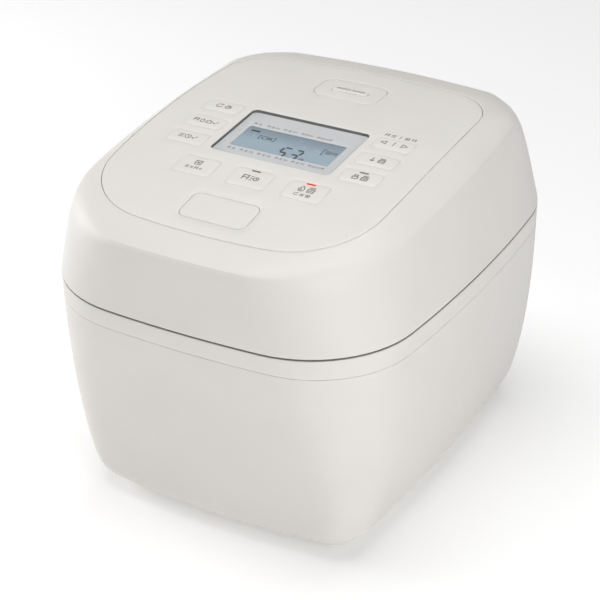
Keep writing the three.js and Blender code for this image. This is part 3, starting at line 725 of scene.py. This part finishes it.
def steam_cap_cover(bm):
    """The lift-off cap: a flush plate, a raised pill with two slots and the stem that plugs into the duct."""
    moat = (loop_of(PILL), [(0.5, 0.0), (0.3, 0.05), (0.2, 0.25), (0.18, 0.8)])
    domed(bm, loop_of(VENT), [(-0.5, 0.0), (-0.2, 0.07), (-0.03, 0.3), (0.0, 0.7)], 2.6, [moat])
    slots = [dict(half=4.9, front=55.5, back=57.3, corner=0.8, x=side * 5.35) for side in (-1, 1)]
    crown = [(-1.1, -0.8), (-0.75, -0.77), (-0.4, -0.66), (-0.15, -0.46), (0.0, -0.2)]
    mouth = [(0.2, -0.8), (0.05, -0.74), (0.0, -0.6)]
    domed(bm, loop_of(PILL), crown, 0.6, [(loop_of(slot), mouth) for slot in slots], step=2.5)
    domed(bm, loop_of(PILL), [(-0.4, 1.7), (-0.38, 1.75)], 2.4, step=3.0)
    stem = [(8.4, 10), (11.6, 10), (11.8, 9.6), (11.8, 2.5), (8.4, 2.5)]
    lathe(bm, [(r, CROWN_Z - drop) for r, drop in stem], (0, CROWN_Y), 64, closed=True)


# ---- display
COVER = dict(top=0.85, floor=2.0)
PRINT = dict(top=2.05, floor=2.5)
SCREEN_DROP = 2.6
MARK = dict(drop=SCREEN_DROP + 0.02, thickness=0.05)  # where the display's marks lie


def window_recess_shade(bm):
    """A thin dark ring between the panel and the display's cover, painted dark as painted shade for the
    shadow on the window recess's wall.
    """
    hole = (loop_of(WINDOW), [(0.1, 0.3), (0.03, 0.34)])
    domed(bm, loop_of(WINDOW), [(0.14, 0.3), (0.15, 0.4)], 2.7, [hole])


def window_cover(bm):
    edge = [(-0.5, COVER["top"]), (-0.15, COVER["top"] + 0.06), (0.0, COVER["top"] + 0.25)]
    domed(bm, loop_of(WINDOW), edge, COVER["floor"])


def window_print(bm):
    """The silver margin behind the cover."""
    hole = (loop_of(GLASS), [(0.1, PRINT["top"]), (0.0, PRINT["top"] + 0.08)])
    edge = [(-0.1, PRINT["top"]), (-0.05, PRINT["top"] + 0.1)]
    domed(bm, loop_of(WINDOW), edge, PRINT["floor"], [hole])


def display(bm):
    block_of = dict(half=GLASS["half"] + 3, front=GLASS["front"] - 3, back=GLASS["back"] + 3, corner=1.0)
    domed(bm, loop_of(block_of), [(-0.3, SCREEN_DROP), (0.0, SCREEN_DROP + 0.3)], 9.0)


def glass_point(u, v):
    """A point on the display: u from its left edge, v from its back edge, each 0 to 1."""
    return (-GLASS["half"] + 2 * GLASS["half"] * u, GLASS["back"] - (GLASS["back"] - GLASS["front"]) * v)


# The strokes of the numerals in a unit box, lettered as seven-bar displays letter them.
BARS = {"a": ((0.1, 1), (0.9, 1)), "b": ((1, 0.92), (1, 0.56)), "c": ((1, 0.44), (1, 0.14)),
        "f": ((0, 0.92), (0, 0.56)), "g": ((0.1, 0.5), (0.9, 0.5))}
LEAN = 0.22


def numeral(bm, bars, left, base, width, height):
    for bar in bars:
        ends = [(left + x * width + y * height * LEAN, base + y * height) for x, y in BARS[bar]]
        stroke(bm, ends, 1.5, **MARK)


def display_numerals(bm):
    """A dash and the figure 53."""
    stroke(bm, [glass_point(0.045, 0.16), glass_point(0.135, 0.16)], 1.9, **MARK)
    left, base = glass_point(0.455, 1.03)
    for i, bars in enumerate(("afgc", "abgc")):
        numeral(bm, bars, left + 8.2 * i, base, 5.0, 11.6)


def display_symbols(bm):
    """Small thin symbols beside the numerals: a bracketed pair, a clock and a boxed pair."""
    row = ("bracket", "loop", "steam", "bracket_end")
    icons(bm, row, glass_point(0.255, 0.38), 3.7, 4.2, 0.55, **MARK)
    icons(bm, ("clock",), glass_point(0.725, 0.94), 2.4, 2.8, 0.5, **MARK)
    icons(bm, ("stop", "gate"), glass_point(0.92, 0.4), 4.2, 4.0, 0.42, **MARK)
    box_edge = [glass_point(u, v) for u, v in ((0.862, 0.28), (0.835, 0.28), (0.835, 0.54), (0.862, 0.54))]
    stroke(bm, box_edge, 0.5, **MARK)


def margin_marks(bm):
    """Groups of short ticks on the silver margin, one over and under each place on the display."""
    rows = [(-0.13, [(0.0, 0.1), (0.14, 0.28), (0.31, 0.46), (0.5, 0.62), (0.66, 0.82)]),
            (1.13, [(0.0, 0.1), (0.13, 0.28), (0.31, 0.46), (0.49, 0.63), (0.66, 0.8), (0.83, 1.0)])]
    pitch, size = 2.6, 2.3
    for v, groups in rows:
        for start, end in groups:
            count = int((end - start) * 2 * GLASS["half"] / pitch)
            for i in range(count):
                centre = glass_point(start + (end - start) * (i + 0.5) / count, v)
                tick = (TICK_ORDER[i % len(TICK_ORDER)],)
                icons(bm, tick, centre, size, size, 0.42, PRINT["top"] + 0.01, 0.03)


# ---- key symbols
def circle(radius, start=0.0, end=360.0, steps=16, x=0.0, y=0.0):
    turn = [math.radians(start + (end - start) * i / steps) for i in range(steps + 1)]
    return [(x + radius * math.cos(a), y + radius * math.sin(a)) for a in turn]


def wave(x, height=0.8, y=0.0):
    return [(x + 0.09 * math.sin(i * math.pi / 3), y - height / 2 + height * i / 8) for i in range(9)]


# Generic pictograms, each a list of lines in a box from -0.5 to 0.5.
ICONS = {
    "bars": [[(-0.45, 0.35), (0.45, 0.35)], [(-0.45, 0), (0.3, 0)], [(-0.45, -0.35), (0.45, -0.35)]],
    "drop": [[(0, 0.5), (-0.3, 0), *circle(0.32, 200, 340, y=-0.14, steps=8), (0.3, 0), (0, 0.5)]],
    "steam": [wave(-0.3), wave(0.0), wave(0.3)],
    "clock": [circle(0.46), [(0, 0.26), (0, 0), (0.2, -0.12)]],
    "flame": [[(0.05, 0.5), (-0.34, -0.08), *circle(0.34, 190, 350, y=-0.16, steps=8), (0.3, 0.1),
               (0.05, 0.5)], [(0, 0.05), (-0.12, -0.25), (0.1, -0.3)]],
    "pot": [[(-0.5, 0.22), (0.5, 0.22)], [(-0.4, 0.22), (-0.4, -0.4), (0.4, -0.4), (0.4, 0.22)],
            [(-0.15, 0.42), (0.15, 0.42)]],
    "stop": [[(-0.38, -0.38), (0.38, -0.38), (0.38, 0.38), (-0.38, 0.38), (-0.38, -0.3)],
             [(-0.18, -0.18), (0.18, 0.18)], [(-0.18, 0.18), (0.18, -0.18)]],
    "cross": [[(-0.35, -0.35), (0.35, 0.35)], [(-0.35, 0.35), (0.35, -0.35)]],
    "loop": [circle(0.4, 60, 350, steps=14), [(0.15, 0.5), (0.22, 0.34), (0.42, 0.42)]],
    "check": [[(-0.42, 0.02), (-0.12, -0.34), (0.42, 0.38)]],
    "plus": [[(-0.38, 0), (0.38, 0)], [(0, -0.38), (0, 0.38)]],
    "down": [[(0, 0.45), (0, -0.42)], [(-0.28, -0.12), (0, -0.42), (0.28, -0.12)]],
    "left": [[(0.42, 0.42), (-0.42, 0), (0.42, -0.42), (0.42, 0.42)]],
    "right": [[(-0.42, 0.42), (0.42, 0), (-0.42, -0.42), (-0.42, 0.42)]],
    "divider": [[(0, 0.6), (0, -0.6)]],
    "bracket": [[(0.3, 0.5), (0.05, 0.5), (0.05, -0.5), (0.3, -0.5)]],
    "bracket_end": [[(-0.3, 0.5), (-0.05, 0.5), (-0.05, -0.5), (-0.3, -0.5)]],
    "grain_bowl": [[(-0.5, 0.02), (0.5, 0.02)], circle(0.42, 190, 350, y=0.02, steps=8),
                   [(0, 0.5), (0, 0.02)], [(-0.3, 0.42), (-0.12, 0.16)], [(0.3, 0.42), (0.12, 0.16)]],
    "gate_pot": [[(-0.5, 0.1), (0.5, 0.1)], [(-0.36, 0.5), (0.36, 0.5)], [(-0.36, 0.3), (0.36, 0.3)],
                 [(-0.38, 0.1), (-0.38, -0.45), (0.38, -0.45), (0.38, 0.1)], [(-0.3, -0.18), (0.3, -0.18)]],
    "steam_pot": [[(-0.45, 0.0), (0.45, 0.0)], [(-0.35, 0.0), (-0.3, -0.45), (0.3, -0.45), (0.35, 0.0)],
                  wave(-0.2, 0.4, 0.3), wave(0.15, 0.4, 0.3)],
    "clock_bars": [circle(0.3, x=0.2), [(0.2, 0.18), (0.2, 0), (0.34, 0)],
                   *([(-0.5, y), (-0.2, y)] for y in (0.35, 0, -0.35))],
    "ticks": [[(x, 0.4), (x, -0.4)] for x in (-0.4, 0, 0.4)],
    "gate": [*([(-0.4, y), (0.4, y)] for y in (0.4, 0)), *([(x, 0.4), (x, -0.4)] for x in (-0.3, 0.3))],
}
TICK_ORDER = ("gate", "bars", "ticks")

# Rows of pictograms on each key: (offset from the key's middle, names, spacing, size, line width).
LEGENDS = {
    "rice": [(0, ("loop", "grain_bowl"), 6.3, 5.0, 0.62)],
    "style": [(0, ("gate", "drop", "pot", "check"), 4.6, 4.2, 0.55)],
    "course": [(0, ("bars", "clock", "check"), 4.6, 4.2, 0.55)],
    "select": [(0, ("left", "divider", "right"), 7.1, 4.3, 0.55)],
    "small": [(0, ("down", "gate_pot"), 6.1, 5.0, 0.62)],
    "keep_warm": [(-1.2, ("steam_pot", "gate_pot"), 6.0, 5.0, 0.62)],
    "cancel": [(2.4, ("stop",), 5.0, 5.3, 0.65), (-3.2, ("bars", "cross", "gate", "plus"), 3.1, 2.9, 0.42)],
    "timer": [(-0.4, ("gate", "clock_bars"), 6.0, 5.6, 0.68)],
    "cook": [(1.4, ("flame", "gate_pot"), 6.2, 5.3, 0.6), (-4.6, ("loop", "steam", "stop"), 3.9, 3.0, 0.42)],
}


def icons(bm, names, centre, pitch, size, width, drop, thickness):
    """A row of pictograms about a centre."""
    for i, name in enumerate(names):
        x = centre[0] + (i - (len(names) - 1) / 2) * pitch
        for line in ICONS[name]:
            stroke(bm, [(x + px * size, centre[1] + py * size) for px, py in line], width, drop, thickness)


SUNK, INK_T = 0.03, 0.06  # how deep a print's underside lies in its surface, and its thickness


def key_legend(bm, name):
    x, y, _ = KEYS[name]
    for offset, names, pitch, size, width in LEGENDS[name]:
        icons(bm, names, (x, y + offset), pitch, size, width, -KEY_PROUD + SUNK, INK_T)


def select_caption(bm):
    """The small row behind the select key."""
    x, y, size = KEYS["select"]
    row = ("gate", "bars", "divider", "stop", "gate")
    icons(bm, row, (x - 0.5, y + size["depth"] / 2 + 3.1), 4.5, 3.5, 0.48, SUNK, INK_T)


# ---- pot, lid lining, base and hardware
def pot_well_liner(bm):
    top = SEAM_Z - 7.9
    outside = [(13.4, 33), (84, 33), (96, 40), (99.6, 54), (99.6, top)]
    within = [(97.1, top), (97.1, 54.5), (94, 42.4), (83.2, 35.4), (13.4, 35.4)]
    lathe(bm, fillet(outside + within + outside[:1], 5)[:-1], closed=True)


POT_R, POT_WALL, POT_FLOOR, POT_RIM = 94.4, 2.4, 38.0, SEAM_Z - 2.6


def cooking_pot(bm):
    """The inner pot: rounded bottom, straight wall and a flat rolled flange."""
    flange, under_flange, inner = 102, POT_RIM - 1.6, POT_R - POT_WALL
    outside = [(0, POT_FLOOR), (84, POT_FLOOR), (POT_R, 58), (POT_R, under_flange)]
    within = [(inner + 0.6, POT_RIM), (inner, POT_RIM - 1.2), (inner, 59), (82.6, POT_FLOOR + POT_WALL),
              (0, POT_FLOOR + POT_WALL)]
    edge = [outside[-1], (flange, under_flange), (flange, POT_RIM), within[0]]
    profile = fillet(outside, 14, 8)[:-1] + fillet(edge, 0.7)[:-1] + fillet(within, 13, 8)
    lathe(bm, profile, segments=128)


def pot_level_marks(bm):
    """Two ladders of fill lines on the pot's inner wall, with every other line long."""
    lowest, pitch = 66, 7.5
    reach = POT_R - POT_WALL
    section = ((reach + 0.2, 0), (reach - 0.12, 0), (reach - 0.12, 0.7), (reach + 0.2, 0.7))
    for side in (0, math.pi):
        for i in range(9):
            z = lowest + i * pitch
            half = 0.085 if i % 2 == 0 else 0.05
            angles = [side - half + 2 * half * j / 6 for j in range(7)]
            stack(bm, [[Vector((r * math.cos(a), r * math.sin(a), z + h)) for r, h in section]
                       for a in angles])


def sensor_button(bm):
    """The sprung thermostat button under the pot."""
    profile = [(0, 22), (4, 22), (4, 31.6), (11.6, 31.6), (12.4, 33), (12.4, 36.9), (11.4, 37.7), (0, 37.7)]
    lathe(bm, fillet(profile, 0.7), segments=64)


def inner_lid_disc(bm):
    """The pressed disc that closes the pot, with an embossed ring and steam holes."""
    def height(x, y):
        r = math.hypot(x, y)
        return SEAM_Z + 1.6 - 0.35 * math.exp(-((r - 76) / 2.5) ** 2) - 0.25 * math.exp(-((r - 30) / 8) ** 2)
    rim = [(0.1, 0.0), (0.0, 0.1)]
    holes = [(loop_of(about(0, CROWN_Y, 6, 6, 5.9), steps=4), rim)]
    for i in range(8):
        angle = math.pi * (1.12 + 0.76 * i / 7)
        small = about(52 * math.cos(angle), 52 * math.sin(angle), 2, 2, 1.95)
        holes.append((loop_of(small, steps=3), rim))
    disc = loop_of(about(0, 0, 97.6, 97.6, 97.5), steps=24)
    domed(bm, disc, [(-0.3, 0.0), (0.0, 0.3)], 1.0, holes, step=4.0, height=height)


def lid_seal(bm):
    """The soft lip that seals the inner lid on the pot's flange."""
    profile = [(89, -1.4), (92, -2.3), (98.5, -2.3), (98.5, 0.3), (89, 0.3)]
    profile = [(r, SEAM_Z + z) for r, z in profile + profile[:2]]
    lathe(bm, fillet(profile, 0.7)[3:-1], segments=128, closed=True)


def lid_lining(bm):
    """The liner that closes the lid's underside, with a shallow step round the inner lid."""
    outer = {**inset(SEAM, 6), "front": SEAM["front"] - 4.4, "back": SEAM["back"] - 21}
    vent = about(0, CROWN_Y, 9.4, 9.4, 9.3)
    hook = dict(half=8, front=LATCH_Y - 6, back=LATCH_Y + 7, corner=1.2)

    def height(x, y):
        inside_step = 1 / (1 + math.exp((math.hypot(x, y) - 103) / 1.2))
        return SEAM_Z + 4.4 + 0.8 * inside_step
    holes = [(loop_of(rect), [(0.2, 0.0), (0.0, 0.2)]) for rect in (vent, hook)]
    edge = [(-0.6, 0.0), (-0.15, 0.15), (0.0, 0.6)]
    domed(bm, lambda grow: outline(inset(outer, -grow)), edge, 1.4, holes, step=5.0, height=height)


def rubber_foot(bm, x, y):
    lathe(bm, fillet([(0, 0), (7.6, 0), (8.6, 1.0), (8.6, 2.4), (0, 2.4)], 0.6), (x, y), 48)


def barrel(bm, x0, x1):
    """One knuckle round the hinge pin."""
    profile = [(2.0, x0), (3.9, x0), (4.2, x0 + 0.3), (4.2, x1 - 0.3), (3.9, x1), (2.0, x1)]
    along_hinge(bm, profile, segments=40, closed=True)


def body_hinge(bm):
    """The bracket under the deck's rear edge and its two outer knuckles."""
    block(bm, (-33.5, HINGE_Y - 16, HINGE_Z - 6.7), (33.5, HINGE_Y - 5.9, HINGE_Z - 4.7))
    for x0 in (-33.5, 22.5):
        barrel(bm, x0, x0 + 11)
        block(bm, (x0, HINGE_Y - 7, HINGE_Z - 6.6), (x0 + 11, HINGE_Y - 3.2, HINGE_Z - 1.4))


def lid_hinge_arm(bm):
    """The lid's middle knuckle and the arm that runs into the lid."""
    barrel(bm, -21.6, 21.6)
    block(bm, (-21.6, HINGE_Y - 20, HINGE_Z + 0.2), (21.6, HINGE_Y - 2.8, HINGE_Z + 3.4))


def mains_socket(bm):
    """The recessed inlet: a rim, a deep mouth with round corners and a floor for the pins."""
    x, z, half, rise, front, back = (INLET[key] for key in ("x", "z", "half", "rise", "front", "back"))
    gap = 0.3

    def ring(w, h, corner, y, grow=0.0):
        rect = about(0, 0, w, h, corner)
        return [Vector((x + px, y, z + pz)) for px, pz in rounded(grow=grow, steps=6, **rect)]
    outer, mouth = (half - gap, rise - gap, 1.6), (12, 7, 2.4)
    stack(bm, [ring(*outer, front), ring(*outer, back - 0.6), ring(*outer, back - 0.15, -0.2),
               ring(*outer, back, -0.7), ring(*mouth, back, 0.7), ring(*mouth, back - 0.2, 0.2),
               ring(*mouth, back - 0.8), ring(*mouth, front + 4)])


# ---- stage
LIGHT_TARGET = Vector((0, 0, 0.12))


def add_area(name, place, size, power):
    """A soft box aimed at the middle of the object."""
    light = bpy.data.lights.new(name, "AREA")
    light.shape = "RECTANGLE"
    light.size, light.size_y = size
    light.energy = power
    obj = add_object(name, light)
    obj.location = place
    obj.rotation_euler = (LIGHT_TARGET - Vector(place)).to_track_quat("-Z", "Y").to_euler()


def pale_floor():
    """A matt white sweep that brightens away from the object, as a lit backdrop does."""
    material, tree, shader = node_material("pale_floor", (0.9, 0.9, 0.9), 0.6)
    shader.inputs["Emission Color"].default_value = (1, 1, 1, 1)
    reach = add_node(tree, "VectorMath")
    reach.operation = "LENGTH"
    tree.links.new(placed(tree), reach.inputs[0])
    glow = add_node(tree, "MapRange", From_Min=0.3, From_Max=1.6, To_Min=0.217, To_Max=0.583)
    tree.links.new(reach.outputs["Value"], glow.inputs["Value"])
    tree.links.new(glow.outputs["Result"], shader.inputs["Emission Strength"])
    return material


def make_stage():
    """A pale seamless floor, a dim world and four soft boxes."""
    size = 6.0
    corners = [(-size, -size, 0), (size, -size, 0), (size, size, 0), (-size, size, 0)]
    mesh = bpy.data.meshes.new("floor")
    mesh.from_pydata(corners, [], [range(4)])
    mesh.materials.append(pale_floor())
    floor = add_object("floor", mesh)
    world = bpy.data.worlds.new("studio")
    world.use_nodes = True
    background = world.node_tree.nodes["Background"]
    background.inputs["Color"].default_value = (1, 1, 1, 1)
    background.inputs["Strength"].default_value = 0.005
    bpy.context.scene.world = world
    bpy.context.scene.view_settings.view_transform = "Standard"
    add_area("top_light", (0, 0, 1.6), (1.4, 1.4), 20.3)
    add_area("left_light", (-1.1, -0.2, 0.4), (0.8, 0.7), 7.7)
    add_area("corner_light", (1.2, -0.95, 0.5), (0.8, 0.7), 3.7)
    add_area("near_light", (0.75, -0.55, 0.5), (0.5, 0.6), 2.8)


def make_camera():
    """The product view: from the front right, looking down, with a long lens."""
    azimuth, elevation, distance = math.radians(29.11), math.radians(26.87), 1.1944
    back = Vector((math.sin(azimuth) * math.cos(elevation), -math.cos(azimuth) * math.cos(elevation),
                   math.sin(elevation)))
    target = Vector((0, MID_Y * MM, SEAM_Z * MM))
    camera = bpy.data.cameras.new("product_camera")
    camera.sensor_width = 36
    camera.lens = 113.51
    camera.shift_x = -0.0133
    camera.shift_y = -0.1184
    obj = add_object("product_camera", camera)
    obj.location = target + back * distance
    obj.rotation_euler = (-back).to_track_quat("-Z", "Y").to_euler()
    bpy.context.scene.camera = obj


# ---- assembly
def place(piece, body, slot, *nodes):
    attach(piece, body)
    if nodes:
        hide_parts(*nodes)


# Finishes for the CAD pieces that stay as they are.
KEPT = {
    "inner": ("base_plate", "coil_holder", "steam_duct", "latch_hook"),
    "dark": ("fan_frame", "fan_rotor"),
    "steel": ("sensor_spring", "heat_sink", "inlet_pin_left", "inlet_pin_right", "hinge_pin", "latch_catch",
              "pressure_valve", "safety_valve", "heat_plate"),
    "copper": ("induction_coil",),
    "ferrite": tuple(f"ferrite_bar_{i}" for i in range(1, 5)),
    "board": ("power_board", "control_board"),
}


SOFT_EDGE = 0.25 * MM
SOFT_ANGLE = math.radians(50)


def finish_kept(m):
    """Gives each remaining CAD piece its finish and soft edges."""
    for finish, names in KEPT.items():
        for name in names:
            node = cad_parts[name]
            node.data.materials.clear()
            node.data.materials.append(m[finish])
            bevel = node.modifiers.new("soft_edges", "BEVEL")
            bevel.width = SOFT_EDGE
            bevel.limit_method = "ANGLE"
            bevel.angle_limit = SOFT_ANGLE


# Drawn pieces, each named after its function: finishes, body, slot and the CAD node that it replaces.
OUTER = (
    (body_shell, "shell", "root", "case_plastic", "outer_case"),
    (band_and_deck, "shell rim", "root", "case_plastic", "top_frame"),
    (lid_flank, "shell", "lid", "case_plastic", "lid_shell"),
    (control_panel, "panel", "lid", "panel_plastic", "top_panel"),
    (lid_button, "panel", "open_button", "panel_plastic", "open_button"),
    (steam_cap_cover, "panel", "steam_cap", "panel_plastic", "steam_cap"),
)
INNER = (
    (lamp_rim_cook, "halo", "key_cook", "lamp_red"),
    (select_caption, "ink", "lid", "dark_plastic"),
    (window_cover, "clear", "lid", "window", "lcd_window"),
    (window_print, "silver", "lid", "silver_trim", "lcd_bezel"),
    (display, "display", "lid", "display", "lcd_module"),
    (window_recess_shade, "gap", "lid", "dark_plastic"),
    (display_numerals, "segments", "lid", "dark_plastic"),
    (display_symbols, "segments", "lid", "dark_plastic"),
    (margin_marks, "pale_ink", "lid", "dark_plastic"),
    (pot_well_liner, "dark", "root", "dark_plastic", "pot_well"),
    (cooking_pot, "pot", "root", "pot_metal", "inner_pot"),
    (pot_level_marks, "silver", "root", "silver_trim"),
    (sensor_button, "pressed", "pot_sensor", "steel", "pot_sensor"),
    (inner_lid_disc, "pressed", "lid", "steel", "inner_lid"),
    (lid_seal, "seal", "lid", "seal", "lid_gasket"),
    (lid_lining, "inner", "lid", "inner_plastic", "lid_liner"),
    (body_hinge, "inner", "root", "inner_plastic", "hinge_bracket"),
    (lid_hinge_arm, "inner", "lid", "inner_plastic", "lid_knuckle"),
    (mains_socket, "dark", "root", "dark_plastic", "inlet_socket"),
)


def add_pieces(m, rows):
    for draw, finish, body, slot, *nodes in rows:
        place(make(m, finish, draw.__name__, draw), body, slot, *nodes)


def add_keys(m):
    for name in KEYS:
        body = f"key_{name}"
        place(make(m, "panel", f"cap_{name}", key_cap, name), body, "panel_plastic", body)
        place(make(m, "ink", f"legend_{name}", key_legend, name), body, "dark_plastic")
        if name in LIGHTS:
            look = "lamp_red" if name == "cook" else "lamp_off"
            place(make(m, look, f"lamp_{name}", key_lamp, name), body, look, f"light_{name}")


def add_feet(m):
    for row, y in (("front", -82), ("back", 82)):
        for side, x in (("left", -50), ("right", 50)):
            name = f"foot_{row}_{side}"
            place(make(m, "rubber", f"rubber_{name}", rubber_foot, x, y), "root", "rubber", name)


def main():
    make_camera()
    make_stage()
    m = make_materials()
    add_pieces(m, OUTER)
    add_keys(m)
    add_pieces(m, INNER)
    add_feet(m)
    finish_kept(m)


main()
